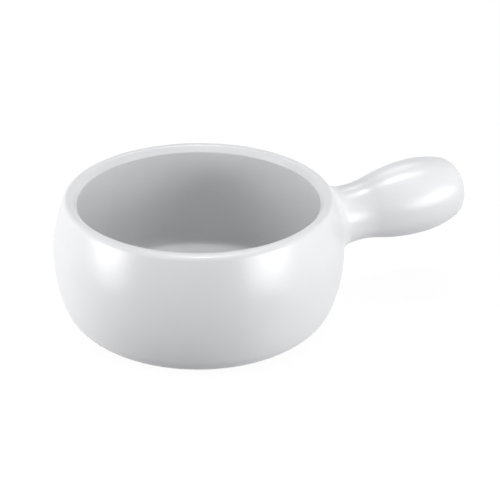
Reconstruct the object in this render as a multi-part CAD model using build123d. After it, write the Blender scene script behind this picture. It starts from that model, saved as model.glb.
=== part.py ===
from build123d import *
import math
import os

os.makedirs("parts", exist_ok=True)

# A white handled onion soup crock, in millimetres. The bowl turns about Z and stands on Z = 0,
# and the handle points along +X. Sizes are of the glazed crock; the clay under the glaze is
# smaller by the coat.

# bowl, outside
height = 56.6
belly_height = 31.3
belly_radius = 62.5
shoulder_arc = 49.2
flank_arc = 61.5
heel_arc = 13.1

# rim
rim_draw = 4.7
rim_width = 4.6
rim_round = 2.5
lip_lean = 32.0
edge_round = 0.9
lip_round = 0.6

# bowl, inside
wall = 4.9
floor_height = 8.5
floor_corner = 4.5

# foot
foot_height = 1.0
foot_width = 5.4
foot_round = 0.4
well_depth = 3.0
well_bead = 0.8

# coats and joint
glaze = 0.3
slip = 0.6

# handle, along its own axis from the point where the axis leaves the wall
handle_tilt = 8.3
handle_drop = 6.1
root_run = 0.4
root_round = 3.5
root_turn = 50.0
root_depth = 4.0
waist_radius = 12.7
waist_run = 8.2
neck_arc = 34.0
bulb_swell = 4.0
bulb_run = 29.4
bulb_arc = 43.4
tip_run = 22.7
tip_arc = 32.0
tip_corner = 11.2
handle_wall = 4.2
vent_diameter = 2.5
vent_run = 14.0


def nested_centre(outer_centre, outer_arc, inner_arc, level):
    """Centre of an arc that rests on a level and runs tangent inside a larger arc."""
    z = level + inner_arc
    reach = math.sqrt((outer_arc - inner_arc) ** 2 - (outer_centre[1] - z) ** 2)
    return (outer_centre[0] + reach, z)


def crossing(first, first_radius, second, second_radius):
    """Crossing of two circles, on the right of the way from the first centre to the second."""
    run = second[0] - first[0]
    rise = second[1] - first[1]
    span = math.hypot(run, rise)
    along = (first_radius**2 - second_radius**2 + span**2) / (2 * span)
    off = math.sqrt(first_radius**2 - along**2)
    x = first[0] + (along * run + off * rise) / span
    y = first[1] + (along * rise - off * run) / span
    return (x, y)


def bearing(start, end):
    """Angle of the way from one point to another, in degrees."""
    return math.degrees(math.atan2(end[1] - start[1], end[0] - start[0]))


# bowl section: radius and height of the centres of its arcs

shoulder_centre = (belly_radius - shoulder_arc, belly_height)
rim_radius = belly_radius - rim_draw
edge_radius = rim_radius - rim_width
crest_radius = rim_radius - rim_round
rim_centre = (crest_radius, height - rim_round)
rim_gap = math.dist(shoulder_centre, rim_centre)
rim_turn = math.degrees(math.acos((shoulder_arc - rim_round) / rim_gap))
collar_lean = bearing(shoulder_centre, rim_centre) - rim_turn
flank_centre = (belly_radius - flank_arc, belly_height)
heel_centre = nested_centre(flank_centre, flank_arc, heel_arc, foot_height)
heel_bearing = bearing(flank_centre, heel_centre)
corner_centre = nested_centre(flank_centre, flank_arc - wall, floor_corner, floor_height)
corner_bearing = bearing(flank_centre, corner_centre)
foot_radius = heel_centre[0]
well_radius = foot_radius - foot_width


def flat(point):
    return (point.X, point.Y)


def outside_arcs(inset):
    """Edges of the outside from the foot up to the crest of the rim, moved inward by inset."""
    heel = CenterArc(heel_centre, heel_arc - inset, -90, 90 + heel_bearing)
    flank = CenterArc(flank_centre, flank_arc - inset, heel_bearing, -heel_bearing)
    shoulder = CenterArc(shoulder_centre, shoulder_arc - inset, 0, collar_lean)
    rim = CenterArc(rim_centre, rim_round - inset, collar_lean, 90 - collar_lean)
    collar = Line(flat(shoulder @ 1), flat(rim @ 0))
    return [heel, flank, shoulder, collar, rim]


def rim_edge(inset):
    """Inner edge of the rim, where its slope down into the bowl starts, moved in by inset."""
    return (edge_radius + inset * math.tan(math.radians(45 - lip_lean / 2)), height - inset)


def lip_corner(inset):
    """Foot of the slope inside the rim, where it meets the wall, moved in by inset."""
    edge = rim_edge(inset)
    lean = math.radians(lip_lean)
    run = edge[0] - shoulder_centre[0]
    rise = edge[1] - shoulder_centre[1]
    inner_shoulder = shoulder_arc - wall + inset
    half = run * math.sin(lean) + rise * math.cos(lean)
    slope = half - math.sqrt(half**2 - run**2 - rise**2 + inner_shoulder**2)
    return (edge[0] - slope * math.sin(lean), edge[1] - slope * math.cos(lean))


def inside_arcs(inset):
    """Edges of the inside from the lip down to the floor, moved into the wall by inset."""
    lip = bearing(shoulder_centre, lip_corner(inset))
    shoulder = CenterArc(shoulder_centre, shoulder_arc - wall + inset, lip, -lip)
    flank = CenterArc(flank_centre, flank_arc - wall + inset, 0, corner_bearing)
    corner = CenterArc(corner_centre, floor_corner + inset, corner_bearing, -90 - corner_bearing)
    return [shoulder, flank, corner]


def soften(face, point, radius):
    """Rounds the corner of a section that lies at a point."""
    corner = face.vertices().sort_by_distance((*point, 0))[0]
    return fillet(corner, radius)


def bowl_section(inset):
    """Half section of the bowl, every glazed face moved into the wall by inset."""
    outside = outside_arcs(inset)
    inside = inside_arcs(inset)
    lip = flat(inside[0] @ 0)
    edge = rim_edge(inset)
    crest = Polyline(flat(outside[-1] @ 1), edge, lip)
    base = Polyline(
        flat(inside[-1] @ 1),
        (0, floor_height - inset),
        (0, well_depth + inset),
        (well_radius, well_depth + inset),
        (well_radius, 0),
        (foot_radius, 0),
        flat(outside[0] @ 0),
    )
    face = make_face(outside + [crest] + inside + [base])
    face = soften(face, edge, edge_round - inset)
    face = soften(face, lip, lip_round - inset)
    face = soften(face, (well_radius, 0), foot_round)
    return soften(face, (foot_radius, 0), foot_round)


def bowl_envelope(inset):
    """The outside of the bowl as a filled solid, moved inward by inset."""
    outside = outside_arcs(inset)
    rest = Polyline(
        flat(outside[-1] @ 1),
        (0, height - inset),
        (0, foot_height + inset),
        flat(outside[0] @ 0),
    )
    return revolve(Plane.XZ * make_face(outside + [rest]), Axis.Z)


def inside_region():
    """What lies on the inner side of the middle of the wall, up to the crest of the rim."""
    middle = wall / 2
    arcs = inside_arcs(middle)
    lip = flat(arcs[0] @ 0)
    rest = Polyline(
        flat(arcs[-1] @ 1),
        (0, floor_height - middle),
        (0, height),
        (crest_radius, height),
        lip,
    )
    return make_face(arcs + [rest])


def well_section():
    """Half section of the coat in the foot well, with a bead in the corner by the foot ring."""
    well_top = well_depth + glaze
    edge = well_radius - well_bead
    outline = Polyline(
        (edge, well_depth),
        (0, well_depth),
        (0, well_top),
        (well_radius, well_top),
        (well_radius, well_depth - well_bead),
    )
    bead = CenterArc((edge, well_depth - well_bead), well_bead, 0, 90)
    return make_face([outline, bead])


# handle: a hollow body of revolution about its own tilted axis

tilt = math.radians(handle_tilt)
handle_height = height - handle_drop - waist_radius
if handle_height > belly_height:
    wall_centre, wall_arc = shoulder_centre, shoulder_arc
else:
    wall_centre, wall_arc = flank_centre, flank_arc
handle_reach = wall_centre[0] + math.sqrt(wall_arc**2 - (handle_height - belly_height) ** 2)
handle_direction = Vector(math.cos(tilt), 0, math.sin(tilt))
handle_origin = Vector(handle_reach, 0, handle_height)
handle_plane = Plane(origin=handle_origin, x_dir=handle_direction, z_dir=(0, -1, 0))
handle_axis = Axis(handle_origin, handle_direction)

bulb_radius = waist_radius + bulb_swell
bulb_station = waist_run + bulb_run
swell_arc = (bulb_run**2 + bulb_swell**2) / (2 * bulb_swell) - neck_arc
neck_centre = (waist_run, waist_radius + neck_arc)
root_rise = math.sqrt((neck_arc - root_round) ** 2 - (waist_run - root_run) ** 2)
root_centre = (root_run, neck_centre[1] - root_rise)
root_bearing = bearing(neck_centre, root_centre)
swell_centre = (bulb_station, bulb_radius - swell_arc)
swell_bearing = bearing(swell_centre, neck_centre)
bulb_centre = (bulb_station, bulb_radius - bulb_arc)
tip_centre = (bulb_station + tip_run - tip_arc, 0)
cheek_centre = crossing(bulb_centre, bulb_arc - tip_corner, tip_centre, tip_arc - tip_corner)
bulb_bearing = bearing(bulb_centre, cheek_centre)
tip_bearing = bearing(tip_centre, cheek_centre)


def handle_solid(inset):
    """The handle with its root carried on into the bowl, every face moved inward by inset."""
    flare_bearing = -90 - root_turn
    neck_turn = swell_bearing - 180 - root_bearing
    flare = CenterArc(root_centre, root_round + inset, flare_bearing, root_bearing - flare_bearing)
    neck = CenterArc(neck_centre, neck_arc + inset, root_bearing, neck_turn)
    swelling = CenterArc(swell_centre, swell_arc - inset, swell_bearing, 90 - swell_bearing)
    bulb = CenterArc(bulb_centre, bulb_arc - inset, 90, bulb_bearing - 90)
    cheek = CenterArc(cheek_centre, tip_corner - inset, bulb_bearing, tip_bearing - bulb_bearing)
    tip = CenterArc(tip_centre, tip_arc - inset, tip_bearing, -tip_bearing)
    root = flat(flare @ 0)
    start = root[0] - root_depth
    rest = Polyline(flat(tip @ 1), (start, 0), (start, root[1]), root)
    face = make_face([flare, neck, swelling, bulb, cheek, tip, rest])
    return revolve(handle_plane * face, handle_axis)


def vent_cutter():
    """The hole under the neck that lets air out of the hollow handle."""
    below = Plane(
        origin=handle_origin + handle_direction * vent_run,
        z_dir=(math.sin(tilt), 0, -math.cos(tilt)),
    )
    reach = 2 * waist_radius
    return below * Cylinder(
        vent_diameter / 2, reach, align=(Align.CENTER, Align.CENTER, Align.MIN)
    )


# pieces

biscuit_section = bowl_section(glaze)
coats = bowl_section(0) - biscuit_section
inside = inside_region()
under_floor = Pos(0, well_depth) * Rectangle(2 * well_radius, 2 * well_depth)

biscuit_handle = handle_solid(glaze)
cavity = handle_solid(glaze + handle_wall)
biscuit_envelope = bowl_envelope(glaze)
slip_envelope = bowl_envelope(glaze - slip)
vent = vent_cutter()

bowl_body = revolve(Plane.XZ * biscuit_section, Axis.Z)
hollow_handle = biscuit_handle - biscuit_envelope - cavity
handle_shell = hollow_handle - slip_envelope - vent
luting_slip = hollow_handle & slip_envelope

liner_glaze = revolve(Plane.XZ * (coats & inside), Axis.Z)
foot_well_glaze = revolve(Plane.XZ * well_section(), Axis.Z)
bowl_coat = revolve(Plane.XZ * (coats - inside - under_floor), Axis.Z)
handle_coat = handle_solid(0) - bowl_envelope(glaze / 2)
outer_glaze = bowl_coat + handle_coat - biscuit_handle - vent

nodes = {
    "bowl_body": bowl_body,
    "handle_shell": handle_shell,
    "luting_slip": luting_slip,
    "liner_glaze": liner_glaze,
    "outer_glaze": outer_glaze,
    "foot_well_glaze": foot_well_glaze,
}
for name, piece in nodes.items():
    export_step(piece, "parts/" + name + ".step")
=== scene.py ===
"""A white glazed onion soup crock, photographed from the front on a white studio ground."""

import math

import bmesh
import bpy
from mathutils import Matrix, Vector


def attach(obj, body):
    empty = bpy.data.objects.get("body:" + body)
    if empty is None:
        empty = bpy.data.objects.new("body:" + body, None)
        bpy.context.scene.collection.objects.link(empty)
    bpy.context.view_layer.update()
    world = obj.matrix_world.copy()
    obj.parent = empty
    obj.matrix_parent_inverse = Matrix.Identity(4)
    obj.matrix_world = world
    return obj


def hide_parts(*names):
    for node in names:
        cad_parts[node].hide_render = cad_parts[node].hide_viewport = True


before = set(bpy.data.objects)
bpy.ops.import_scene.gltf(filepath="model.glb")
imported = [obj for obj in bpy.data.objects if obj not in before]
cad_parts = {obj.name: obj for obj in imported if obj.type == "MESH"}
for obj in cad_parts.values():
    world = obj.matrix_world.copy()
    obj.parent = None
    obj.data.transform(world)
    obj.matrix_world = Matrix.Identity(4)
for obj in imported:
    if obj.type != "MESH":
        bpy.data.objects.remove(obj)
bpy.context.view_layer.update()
scene = bpy.context.scene
scene.view_settings.view_transform = "Standard"

MM = 0.001

# bowl, outside
HEIGHT = 56.6 * MM
BELLY_HEIGHT = 31.3 * MM
BELLY_RADIUS = 62.5 * MM
SHOULDER_ARC = 49.2 * MM
FLANK_ARC = 61.5 * MM
HEEL_ARC = 13.1 * MM
FOOT_HEIGHT = 1.0 * MM

# rim
RIM_DRAW = 4.7 * MM
RIM_WIDTH = 4.6 * MM
RIM_ROUND = 2.5 * MM
LIP_LEAN = 32.0
COLLAR_START = 11.0
EDGE_ROUND = 0.9 * MM
LIP_ROUND = 0.6 * MM

# bowl, inside
WALL = 4.9 * MM
FLOOR_HEIGHT = 8.5 * MM
FLOOR_CORNER = 4.5 * MM
GLAZE = 0.3 * MM

# handle, along its own axis from the point where the axis leaves the wall
HANDLE_TILT = math.radians(8.3)
HANDLE_DROP = 6.1 * MM
ROOT_RUN = 0.4 * MM
ROOT_ROUND = 3.5 * MM
ROOT_TURN = 50.0
ROOT_DEPTH = 4.0 * MM
ROOT_BLEND = 5.0 * MM
WAIST_RADIUS = 12.7 * MM
WAIST_RUN = 8.2 * MM
NECK_ARC = 34.0 * MM
BULB_SWELL = 4.0 * MM
BULB_RUN = 29.4 * MM
BULB_ARC = 43.4 * MM
TIP_RUN = 22.7 * MM
TIP_ARC = 32.0 * MM
TIP_CORNER = 11.2 * MM
VENT_DIAMETER = 2.5 * MM
VENT_RUN = 14.0 * MM

# mesh fineness
BOWL_SEGMENTS = 256
HANDLE_SEGMENTS = 128
ARC_STEP = 0.6 * MM
FINE_STEP = 0.12 * MM
FLAT_STEP = 4 * ARC_STEP
CLOSE = 0.0001 * MM
NECK_ROWS = 12
BLEND_STEPS = 20
WALL_SEARCH = 2 * ROOT_BLEND
WALL_HALVINGS = 40
VENT_SEGMENTS = 48
SHARP_ANGLE = math.radians(40)

# view and studio
VIEW_DISTANCE = 600 * MM
VIEW_AIM = Vector((21.9 * MM, 0, 30.6 * MM))
VIEW_DOWN = math.radians(27.44)
VIEW_ROLL = math.radians(0.8)
VIEW_TURN = Matrix.Rotation(math.radians(-18), 4, "Z")
FOCAL_LENGTH = 100.05
SENSOR = 36.0
LAMP_AIM = Vector((10 * MM, 0, 35 * MM))
AMBIENT = 0.12
FLOOR_REACH = 3.0
FLOOR_TONE = 0.12
FLOOR_GLOW = 0.93
BACKDROP = 1.0
WHITE = (1, 1, 1, 1)

# finish
OUTSIDE_DEEP = (0.78, 0.785, 0.804)
OUTSIDE_THIN = (0.8, 0.805, 0.825)
INSIDE_DEEP = (0.78, 0.785, 0.794)
INSIDE_THIN = (0.8, 0.805, 0.815)
GLAZE_GLOSS = (0.28, 0.32)
GLAZE_IOR = 1.5
GLAZE_POOLS = 45
GLAZE_PEEL = 350
GLAZE_DETAIL = 2
PEEL_DEPTH = 0.006 * MM
CLAY_GRAIN = 2200
CLAY_DETAIL = 4
CLAY_GLOSS = (0.75, 0.95)
GRAIN_DEPTH = 0.1 * MM
BISCUIT_LIGHT = (0.8, 0.76, 0.7)
BISCUIT_DARK = (0.66, 0.6, 0.52)
SLIP_LIGHT = (0.78, 0.75, 0.7)
SLIP_DARK = (0.7, 0.66, 0.6)
CLOUD_LOW = 0.3
CLOUD_HIGH = 0.7


def nested_centre(outer_centre, outer_arc, inner_arc, level):
    """Centre of an arc that rests on a level and runs tangent inside a larger arc."""
    z = level + inner_arc
    reach = math.sqrt((outer_arc - inner_arc) ** 2 - (outer_centre[1] - z) ** 2)
    return (outer_centre[0] + reach, z)


def crossing(first, first_radius, second, second_radius):
    """Crossing of two circles, on the right of the way from the first centre to the second."""
    run = second[0] - first[0]
    rise = second[1] - first[1]
    span = math.hypot(run, rise)
    along = (first_radius**2 - second_radius**2 + span**2) / (2 * span)
    off = math.sqrt(first_radius**2 - along**2)
    x = first[0] + (along * run + off * rise) / span
    y = first[1] + (along * rise - off * run) / span
    return (x, y)


def bearing(start, end):
    """Angle of the way from one point to another, in degrees."""
    return math.degrees(math.atan2(end[1] - start[1], end[0] - start[0]))


def bridging_arc(first, first_radius, start, second, second_radius):
    """Centre and radius of the flatter arc that leaves one arc at a bearing, tangent to the next."""
    turn = math.radians(start)
    along = (second[0] - first[0]) * math.cos(turn) + (second[1] - first[1]) * math.sin(turn)
    reach = first_radius - second_radius
    extra = (math.dist(first, second) ** 2 - reach**2) / (2 * (reach - along))
    centre = (first[0] - extra * math.cos(turn), first[1] - extra * math.sin(turn))
    return centre, first_radius + extra


def arc(centre, radius, start, end, step=ARC_STEP):
    """Points along an arc, between two bearings in degrees."""
    turn = math.radians(end - start)
    count = max(2, math.ceil(abs(turn) * radius / step))
    angles = [math.radians(start) + turn * i / count for i in range(count + 1)]
    return [(centre[0] + radius * math.cos(a), centre[1] + radius * math.sin(a)) for a in angles]


def line(start, end, step=ARC_STEP):
    """Points along a straight run."""
    count = max(1, math.ceil(math.dist(start, end) / step))
    mixes = [i / count for i in range(count + 1)]
    return [tuple(a + (b - a) * t for a, b in zip(start, end)) for t in mixes]


def chain(*runs):
    """Joins runs of points end to end, without doubled points."""
    points = []
    for run in runs:
        for point in run:
            if not points or math.dist(points[-1], point) > CLOSE:
                points.append(point)
    return points


# bowl section: radius and height of the centres of its arcs
SHOULDER_CENTRE = (BELLY_RADIUS - SHOULDER_ARC, BELLY_HEIGHT)
RIM_RADIUS = BELLY_RADIUS - RIM_DRAW
EDGE_RADIUS = RIM_RADIUS - RIM_WIDTH
CREST_RADIUS = RIM_RADIUS - RIM_ROUND
RIM_CENTRE = (CREST_RADIUS, HEIGHT - RIM_ROUND)
COLLAR_CENTRE, COLLAR_ARC = bridging_arc(
    SHOULDER_CENTRE, SHOULDER_ARC, COLLAR_START, RIM_CENTRE, RIM_ROUND
)
COLLAR_END = bearing(COLLAR_CENTRE, RIM_CENTRE)
COLLAR_LEVEL = SHOULDER_CENTRE[1] + SHOULDER_ARC * math.sin(math.radians(COLLAR_START))
RIM_LEVEL = RIM_CENTRE[1] + RIM_ROUND * math.sin(math.radians(COLLAR_END))
FLANK_CENTRE = (BELLY_RADIUS - FLANK_ARC, BELLY_HEIGHT)
HEEL_CENTRE = nested_centre(FLANK_CENTRE, FLANK_ARC, HEEL_ARC, FOOT_HEIGHT)
HEEL_BEARING = bearing(FLANK_CENTRE, HEEL_CENTRE)
CORNER_CENTRE = nested_centre(FLANK_CENTRE, FLANK_ARC - WALL, FLOOR_CORNER, FLOOR_HEIGHT)
CORNER_BEARING = bearing(FLANK_CENTRE, CORNER_CENTRE)


def rim_edge(inset):
    """Inner edge of the rim, where its slope down into the bowl starts, moved in by inset."""
    return (EDGE_RADIUS + inset * math.tan(math.radians(45 - LIP_LEAN / 2)), HEIGHT - inset)


def lip_corner(inset):
    """Foot of the slope inside the rim, where it meets the wall, moved in by inset."""
    edge = rim_edge(inset)
    lean = math.radians(LIP_LEAN)
    run = edge[0] - SHOULDER_CENTRE[0]
    rise = edge[1] - SHOULDER_CENTRE[1]
    inner_shoulder = SHOULDER_ARC - WALL + inset
    half = run * math.sin(lean) + rise * math.cos(lean)
    slope = half - math.sqrt(half**2 - run**2 - rise**2 + inner_shoulder**2)
    return (edge[0] - slope * math.sin(lean), edge[1] - slope * math.cos(lean))


# roundings inside the rim
EDGE_CENTRE = rim_edge(EDGE_ROUND)
LIP_CENTRE = lip_corner(LIP_ROUND)
LIP_BEARING = bearing(SHOULDER_CENTRE, LIP_CENTRE)


def outside_profile(inset):
    """Radius and height of the outside from the foot to the crest of the rim, moved in by inset."""
    return chain(
        arc(HEEL_CENTRE, HEEL_ARC - inset, -90, HEEL_BEARING),
        arc(FLANK_CENTRE, FLANK_ARC - inset, HEEL_BEARING, 0),
        arc(SHOULDER_CENTRE, SHOULDER_ARC - inset, 0, COLLAR_START),
        arc(COLLAR_CENTRE, COLLAR_ARC - inset, COLLAR_START, COLLAR_END),
        arc(RIM_CENTRE, RIM_ROUND - inset, COLLAR_END, 90, FINE_STEP),
    )


def inside_profile(inset):
    """Radius and height of the inside from the crest of the rim to the axis, moved in by inset."""
    slope_turn = 180 - LIP_LEAN
    lip_turn = LIP_BEARING + 180
    floor_edge = (CORNER_CENTRE[0], FLOOR_HEIGHT - inset)
    return chain(
        [(CREST_RADIUS, HEIGHT - inset)],
        arc(EDGE_CENTRE, EDGE_ROUND - inset, 90, slope_turn, FINE_STEP),
        arc(LIP_CENTRE, LIP_ROUND - inset, slope_turn, lip_turn, FINE_STEP),
        arc(SHOULDER_CENTRE, SHOULDER_ARC - WALL + inset, LIP_BEARING, 0),
        arc(FLANK_CENTRE, FLANK_ARC - WALL + inset, 0, CORNER_BEARING),
        arc(CORNER_CENTRE, FLOOR_CORNER + inset, CORNER_BEARING, -90),
        line(floor_edge, (0.0, FLOOR_HEIGHT - inset), FLAT_STEP),
    )


def add_object(name, data):
    """Puts a new object with a mesh, lamp or camera into the scene."""
    obj = bpy.data.objects.new(name, data)
    scene.collection.objects.link(obj)
    return obj


def add_mesh(name, bm):
    """Turns a bmesh into an object in the scene."""
    mesh = bpy.data.meshes.new(name)
    bm.to_mesh(mesh)
    bm.free()
    return add_object(name, mesh)


def finish_mesh(name, bm):
    """Turns a bmesh into a smooth-shaded object, creased where faces meet at a real edge."""
    bmesh.ops.recalc_face_normals(bm, faces=bm.faces)
    obj = add_mesh(name, bm)
    obj.data.shade_smooth()
    obj.data.set_sharp_from_angle(angle=SHARP_ANGLE)
    return obj


def skin_rings(bm, rings):
    """Joins closed rings of vertices in turn; a ring of one vertex is a pole."""
    for first, second in zip(rings, rings[1:]):
        count = max(len(first), len(second))
        if count == 1:
            continue
        for i in range(count):
            j = (i + 1) % count
            corners = [first[i % len(first)], first[j % len(first)]]
            corners += [second[j % len(second)], second[i % len(second)]]
            bm.faces.new(list(dict.fromkeys(corners)))


def lathe(name, profile):
    """Turns a closed profile about the bowl axis into a solid shell."""
    bm = bmesh.new()
    turns = [2 * math.pi * i / BOWL_SEGMENTS for i in range(BOWL_SEGMENTS)]
    rings = []
    for radius, z in profile:
        around = turns if radius > CLOSE else turns[:1]
        ring = [bm.verts.new((radius * math.cos(a), radius * math.sin(a), z)) for a in around]
        rings.append(ring)
    skin_rings(bm, rings + rings[:1])
    return finish_mesh(name, bm)


def bowl_skin():
    """The glaze outside the bowl, from the foot to the crest of the rim."""
    return lathe("outer_glaze_bowl", outside_profile(0) + outside_profile(GLAZE)[::-1])


def liner_skin():
    """The glaze inside the bowl, from the crest of the rim to the floor."""
    return lathe("liner_glaze_skin", inside_profile(0) + inside_profile(GLAZE)[::-1])


# handle: centres of its arcs along and across its own axis
HANDLE_HEIGHT = HEIGHT - HANDLE_DROP - WAIST_RADIUS
HANDLE_REACH = SHOULDER_CENTRE[0] + math.sqrt(SHOULDER_ARC**2 - (HANDLE_HEIGHT - BELLY_HEIGHT) ** 2)
HANDLE_ORIGIN = Vector((HANDLE_REACH, 0, HANDLE_HEIGHT))
HANDLE_ALONG = Vector((math.cos(HANDLE_TILT), 0, math.sin(HANDLE_TILT)))
HANDLE_UP = Vector((-math.sin(HANDLE_TILT), 0, math.cos(HANDLE_TILT)))
HANDLE_SIDE = Vector((0, 1, 0))
BULB_RADIUS = WAIST_RADIUS + BULB_SWELL
BULB_STATION = WAIST_RUN + BULB_RUN
SWELL_ARC = (BULB_RUN**2 + BULB_SWELL**2) / (2 * BULB_SWELL) - NECK_ARC
NECK_CENTRE = (WAIST_RUN, WAIST_RADIUS + NECK_ARC)
ROOT_RISE = math.sqrt((NECK_ARC - ROOT_ROUND) ** 2 - (WAIST_RUN - ROOT_RUN) ** 2)
ROOT_CENTRE = (ROOT_RUN, NECK_CENTRE[1] - ROOT_RISE)
ROOT_BEARING = bearing(NECK_CENTRE, ROOT_CENTRE)
SWELL_CENTRE = (BULB_STATION, BULB_RADIUS - SWELL_ARC)
SWELL_BEARING = bearing(SWELL_CENTRE, NECK_CENTRE)
BULB_CENTRE = (BULB_STATION, BULB_RADIUS - BULB_ARC)
TIP_CENTRE = (BULB_STATION + TIP_RUN - TIP_ARC, 0)
CHEEK_CENTRE = crossing(BULB_CENTRE, BULB_ARC - TIP_CORNER, TIP_CENTRE, TIP_ARC - TIP_CORNER)
BULB_BEARING = bearing(BULB_CENTRE, CHEEK_CENTRE)
TIP_BEARING = bearing(TIP_CENTRE, CHEEK_CENTRE)


def neck_profile(inset):
    """Fine points from the waist of the handle back into the wall of the bowl, moved in by inset."""
    flare = arc(ROOT_CENTRE, ROOT_ROUND + inset, ROOT_BEARING, -90 - ROOT_TURN, FINE_STEP)
    root_end = (flare[-1][0] - ROOT_DEPTH, flare[-1][1])
    return chain(
        arc(NECK_CENTRE, NECK_ARC + inset, -90, ROOT_BEARING, FINE_STEP),
        flare,
        line(flare[-1], root_end, FINE_STEP),
    )


def grip_profile(inset):
    """Points from the waist of the handle out to its tip, moved in by inset."""
    return chain(
        arc(NECK_CENTRE, NECK_ARC + inset, -90, SWELL_BEARING - 180),
        arc(SWELL_CENTRE, SWELL_ARC - inset, SWELL_BEARING, 90),
        arc(BULB_CENTRE, BULB_ARC - inset, 90, BULB_BEARING),
        arc(CHEEK_CENTRE, TIP_CORNER - inset, BULB_BEARING, TIP_BEARING),
        arc(TIP_CENTRE, TIP_ARC - inset, TIP_BEARING, 0),
    )


def wall_radius(z):
    """Outside radius of the bowl at a height between its heel and its rim."""
    if z < BELLY_HEIGHT:
        return FLANK_CENTRE[0] + math.sqrt(FLANK_ARC**2 - (z - BELLY_HEIGHT) ** 2)
    if z < COLLAR_LEVEL:
        return SHOULDER_CENTRE[0] + math.sqrt(SHOULDER_ARC**2 - (z - BELLY_HEIGHT) ** 2)
    if z < RIM_LEVEL:
        return COLLAR_CENTRE[0] + math.sqrt(COLLAR_ARC**2 - (z - COLLAR_CENTRE[1]) ** 2)
    return CREST_RADIUS + math.sqrt(RIM_ROUND**2 - (z - RIM_CENTRE[1]) ** 2)


def handle_point(station, off, angle):
    """A point of the handle from its station, its distance off the axis and its angle round it."""
    across = HANDLE_UP * math.cos(angle) + HANDLE_SIDE * math.sin(angle)
    return HANDLE_ORIGIN + HANDLE_ALONG * station + across * off


def outside_wall(station, off, angle):
    """Distance of a handle point outside the wall of the bowl."""
    point = handle_point(station, off, angle)
    return math.hypot(point.x, point.y) - wall_radius(point.z)


def station_on_wall(off, angle, near):
    """Station at which a line along the handle meets the wall."""
    low = near - WALL_SEARCH
    high = near + WALL_SEARCH
    for _ in range(WALL_HALVINGS):
        middle = (low + high) / 2
        if outside_wall(middle, off, angle) > 0:
            high = middle
        else:
            low = middle
    return (low + high) / 2


def wall_meeting(neck, angle):
    """Index of the first point of a neck profile that has gone into the wall."""
    return next(i for i, (station, off) in enumerate(neck) if outside_wall(station, off, angle) < 0)


def spaced(points):
    """A few rows, evenly picked from a fine run of points, with both its ends."""
    last = len(points) - 1
    return [points[round(i * last / NECK_ROWS)] for i in range(NECK_ROWS + 1)]


def root_curve(neck, angle):
    """The root as (station, off): a soft turn out of the wall, then the neck to the waist."""
    meeting = wall_meeting(neck, angle)
    leave = meeting - round(ROOT_BLEND / FINE_STEP)
    corner = neck[meeting]
    spread = ROOT_BLEND
    upward = HANDLE_UP.z * math.cos(angle)
    if upward > 0:
        room = RIM_LEVEL - handle_point(*corner, angle).z
        spread = min(spread, room / upward)
    off = corner[1] + spread
    ends = ((station_on_wall(off, angle, corner[0]), off), corner, neck[leave])
    curve = []
    for i in range(BLEND_STEPS):
        t = i / BLEND_STEPS
        weights = ((1 - t) ** 2, 2 * t * (1 - t), t**2)
        curve.append(tuple(sum(w * end[k] for w, end in zip(weights, ends)) for k in (0, 1)))
    return curve + spaced(neck[leave::-1])


def handle_skin():
    """The glaze over the handle: a closed shell whose root lies on the bowl."""
    bm = bmesh.new()
    angles = [2 * math.pi * i / HANDLE_SEGMENTS for i in range(HANDLE_SEGMENTS)]
    neck = neck_profile(0)
    under_neck = neck_profile(GLAZE)
    outer = [root_curve(neck, a) for a in angles]
    inner = [spaced(under_neck[: wall_meeting(under_neck, a) + 1]) for a in angles]

    def root_rings(runs):
        """Rings of vertices from one run of points for each angle."""
        rows = [[handle_point(*point, a) for point, a in zip(row, angles)] for row in zip(*runs)]
        return [[bm.verts.new(point) for point in row] for row in rows]

    def grip_rings(profile):
        """Rings of vertices from a profile that is the same at each angle."""
        rings = []
        for station, off in profile:
            around = angles if off > CLOSE else angles[:1]
            rings.append([bm.verts.new(handle_point(station, off, a)) for a in around])
        return rings

    rings = root_rings(outer)
    rings += grip_rings(grip_profile(0)[1:])
    rings += grip_rings(grip_profile(GLAZE)[:0:-1])
    rings += root_rings(inner)
    skin_rings(bm, rings + rings[:1])
    return finish_mesh("outer_glaze_handle", bm)


def drill_vent(skin):
    """Cuts the vent hole through the underside of the handle."""
    bm = bmesh.new()
    radius = VENT_DIAMETER / 2
    length = 2 * WAIST_RADIUS
    bmesh.ops.create_cone(
        bm, cap_ends=True, segments=VENT_SEGMENTS, radius1=radius, radius2=radius, depth=length
    )
    drill = add_mesh("vent", bm)
    turn = Matrix((HANDLE_ALONG, HANDLE_SIDE, HANDLE_UP)).transposed().to_4x4()
    drill.matrix_world = Matrix.Translation(handle_point(VENT_RUN, -length / 2, 0)) @ turn
    cut = skin.modifiers.new("vent", "BOOLEAN")
    cut.operation = "DIFFERENCE"
    cut.object = drill
    cut.solver = "EXACT"
    drilled = skin.evaluated_get(bpy.context.evaluated_depsgraph_get())
    skin.data = bpy.data.meshes.new_from_object(drilled)
    skin.modifiers.clear()
    skin.data.set_sharp_from_angle(angle=SHARP_ANGLE)
    bpy.data.objects.remove(drill)


def studio_camera():
    """The camera in front of the crock, looking down at it."""
    data = bpy.data.cameras.new("camera")
    data.sensor_width = SENSOR
    data.lens = FOCAL_LENGTH
    camera = add_object("camera", data)
    aim = Matrix.Translation(VIEW_AIM)
    tilt = Matrix.Rotation(math.pi / 2 - VIEW_DOWN, 4, "X")
    roll = Matrix.Rotation(VIEW_ROLL, 4, "Z")
    back = Matrix.Translation((0, 0, VIEW_DISTANCE))
    camera.matrix_world = VIEW_TURN @ aim @ tilt @ roll @ back
    scene.camera = camera


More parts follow.
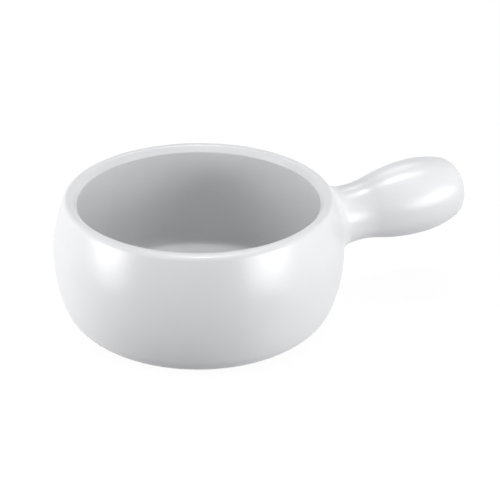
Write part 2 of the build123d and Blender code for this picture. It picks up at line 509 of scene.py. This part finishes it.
def seen_directly(tree):
    """One for what is seen, directly, mirrored or through glass, and zero for the light it gives."""
    path = tree.nodes.new("ShaderNodeLightPath")
    seen = path.outputs["Is Camera Ray"]
    for kind in ("Is Glossy Ray", "Is Transmission Ray"):
        either = tree.nodes.new("ShaderNodeMath")
        either.operation = "MAXIMUM"
        tree.links.new(seen, either.inputs[0])
        tree.links.new(path.outputs[kind], either.inputs[1])
        seen = either.outputs[0]
    return seen


def studio_world():
    """White surroundings that give only a little light."""
    world = bpy.data.worlds.new("studio")
    world.use_nodes = True
    tree = world.node_tree
    output = tree.nodes["World Output"]
    dim = tree.nodes["Background"]
    white = tree.nodes.new("ShaderNodeBackground")
    mix = tree.nodes.new("ShaderNodeMixShader")
    dim.inputs["Color"].default_value = WHITE
    dim.inputs["Strength"].default_value = AMBIENT
    white.inputs["Color"].default_value = WHITE
    white.inputs["Strength"].default_value = BACKDROP
    tree.links.new(seen_directly(tree), mix.inputs["Fac"])
    tree.links.new(dim.outputs["Background"], mix.inputs[1])
    tree.links.new(white.outputs["Background"], mix.inputs[2])
    tree.links.new(mix.outputs["Shader"], output.inputs["Surface"])
    scene.world = world


def studio_floor():
    """A wide pale floor, white to the eye except where the crock shades it."""
    bm = bmesh.new()
    bmesh.ops.create_grid(bm, x_segments=1, y_segments=1, size=FLOOR_REACH)
    floor = add_mesh("floor", bm)
    material = bpy.data.materials.new("floor")
    material.use_nodes = True
    tree = material.node_tree
    tree.nodes.remove(tree.nodes["Principled BSDF"])
    matt = tree.nodes.new("ShaderNodeBsdfDiffuse")
    glow = tree.nodes.new("ShaderNodeEmission")
    strength = tree.nodes.new("ShaderNodeMath")
    both = tree.nodes.new("ShaderNodeAddShader")
    matt.inputs["Color"].default_value = (FLOOR_TONE, FLOOR_TONE, FLOOR_TONE, 1)
    strength.operation = "MULTIPLY"
    strength.inputs[1].default_value = FLOOR_GLOW
    tree.links.new(seen_directly(tree), strength.inputs[0])
    tree.links.new(strength.outputs[0], glow.inputs["Strength"])
    tree.links.new(matt.outputs["BSDF"], both.inputs[0])
    tree.links.new(glow.outputs["Emission"], both.inputs[1])
    tree.links.new(both.outputs["Shader"], tree.nodes["Material Output"].inputs["Surface"])
    floor.data.materials.append(material)


def softbox(name, place, size, power):
    """A round soft lamp at a place to the right of, beyond and above the crock, turned towards it."""
    data = bpy.data.lights.new(name, "AREA")
    data.shape = "DISK"
    data.size = size
    data.energy = power
    lamp = add_object(name, data)
    lamp.location = VIEW_TURN @ Vector(place)
    lamp.rotation_euler = (lamp.location - LAMP_AIM).to_track_quat("Z", "Y").to_euler()


def new_material(name):
    """A node material with its shader, ready for textures."""
    material = bpy.data.materials.new(name)
    material.use_nodes = True
    tree = material.node_tree
    return material, tree, tree.nodes["Principled BSDF"]


def noise(tree, per_metre, detail):
    """A cloud of values fixed to the object, as fine as the count per metre."""
    place = tree.nodes.new("ShaderNodeTexCoord")
    cloud = tree.nodes.new("ShaderNodeTexNoise")
    cloud.inputs["Scale"].default_value = per_metre
    cloud.inputs["Detail"].default_value = detail
    tree.links.new(place.outputs["Object"], cloud.inputs["Vector"])
    return cloud.outputs["Fac"]


def stretched(tree, value, low, high):
    """Stretches the middle of a cloud of values over a range."""
    stretch = tree.nodes.new("ShaderNodeMapRange")
    stretch.inputs["From Min"].default_value = CLOUD_LOW
    stretch.inputs["From Max"].default_value = CLOUD_HIGH
    stretch.inputs["To Min"].default_value = low
    stretch.inputs["To Max"].default_value = high
    tree.links.new(value, stretch.inputs["Value"])
    return stretch.outputs["Result"]


def tint(tree, value, low, high):
    """A colour between two, by a value from 0 to 1."""
    mix = tree.nodes.new("ShaderNodeMix")
    mix.data_type = "RGBA"
    mix.inputs["A"].default_value = (*low, 1)
    mix.inputs["B"].default_value = (*high, 1)
    tree.links.new(value, mix.inputs["Factor"])
    return mix.outputs["Result"]


def bump(tree, value, depth, shader):
    """Lets a value raise the surface by a depth in metres."""
    relief = tree.nodes.new("ShaderNodeBump")
    relief.inputs["Strength"].default_value = 1.0
    relief.inputs["Distance"].default_value = depth
    tree.links.new(value, relief.inputs["Height"])
    tree.links.new(relief.outputs["Normal"], shader.inputs["Normal"])


def glaze_material(name, deep, thin):
    """A thick white glaze: softly glossy, faintly cool, uneven where it pooled as it melted."""
    material, tree, shader = new_material(name)
    pooled = noise(tree, GLAZE_POOLS, GLAZE_DETAIL)
    colour = tint(tree, stretched(tree, pooled, 0, 1), deep, thin)
    tree.links.new(colour, shader.inputs["Base Color"])
    tree.links.new(stretched(tree, pooled, *GLAZE_GLOSS), shader.inputs["Roughness"])
    shader.inputs["IOR"].default_value = GLAZE_IOR
    bump(tree, noise(tree, GLAZE_PEEL, GLAZE_DETAIL), PEEL_DEPTH, shader)
    return material


def clay_material(name, light, dark):
    """Bare fired clay: matt and sandy, with darker grains."""
    material, tree, shader = new_material(name)
    grain = noise(tree, CLAY_GRAIN, CLAY_DETAIL)
    colour = tint(tree, stretched(tree, grain, 0, 1), dark, light)
    tree.links.new(colour, shader.inputs["Base Color"])
    tree.links.new(stretched(tree, grain, *CLAY_GLOSS), shader.inputs["Roughness"])
    bump(tree, grain, GRAIN_DEPTH, shader)
    return material


def dress(obj, material):
    """Gives an object one material in place of any other."""
    obj.data.materials.clear()
    obj.data.materials.append(material)


# studio
studio_camera()
studio_world()
studio_floor()
softbox("right_panel", place=(0.65, -0.3, 0.2), size=0.4, power=2.02)
softbox("right_softbox", place=(0.3, -0.25, 0.075), size=0.2, power=0.63)
softbox("left_panel", place=(-0.6, -0.2, 0.2), size=0.4, power=2.07)
softbox("left_softbox", place=(-0.25, -0.15, 0.06), size=0.14, power=0.205)
softbox("left_card", place=(-0.38, -0.12, 0.06), size=0.16, power=0.119)
softbox("top_panel", place=(0.0, 0.1, 0.9), size=0.14, power=2.3)
softbox("top_softbox", place=(0.2, 0.12, 0.88), size=0.2, power=0.76)
softbox("back_softbox", place=(0.0, 0.55, 0.6), size=0.26, power=0.777)

# pieces
bowl = bowl_skin()
liner = liner_skin()
handle = handle_skin()
drill_vent(handle)
for piece, node in ((bowl, "outer_glaze"), (handle, "outer_glaze"), (liner, "liner_glaze")):
    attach(piece, "root")
    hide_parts(node)

# materials
outside_glaze = glaze_material("outside_glaze", OUTSIDE_DEEP, OUTSIDE_THIN)
inside_glaze = glaze_material("inside_glaze", INSIDE_DEEP, INSIDE_THIN)
biscuit = clay_material("biscuit", BISCUIT_LIGHT, BISCUIT_DARK)
slip = clay_material("slip", SLIP_LIGHT, SLIP_DARK)
dress(bowl, outside_glaze)
dress(handle, outside_glaze)
dress(liner, inside_glaze)
dress(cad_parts["foot_well_glaze"], outside_glaze)
dress(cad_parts["bowl_body"], biscuit)
dress(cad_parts["handle_shell"], biscuit)
dress(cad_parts["luting_slip"], slip)
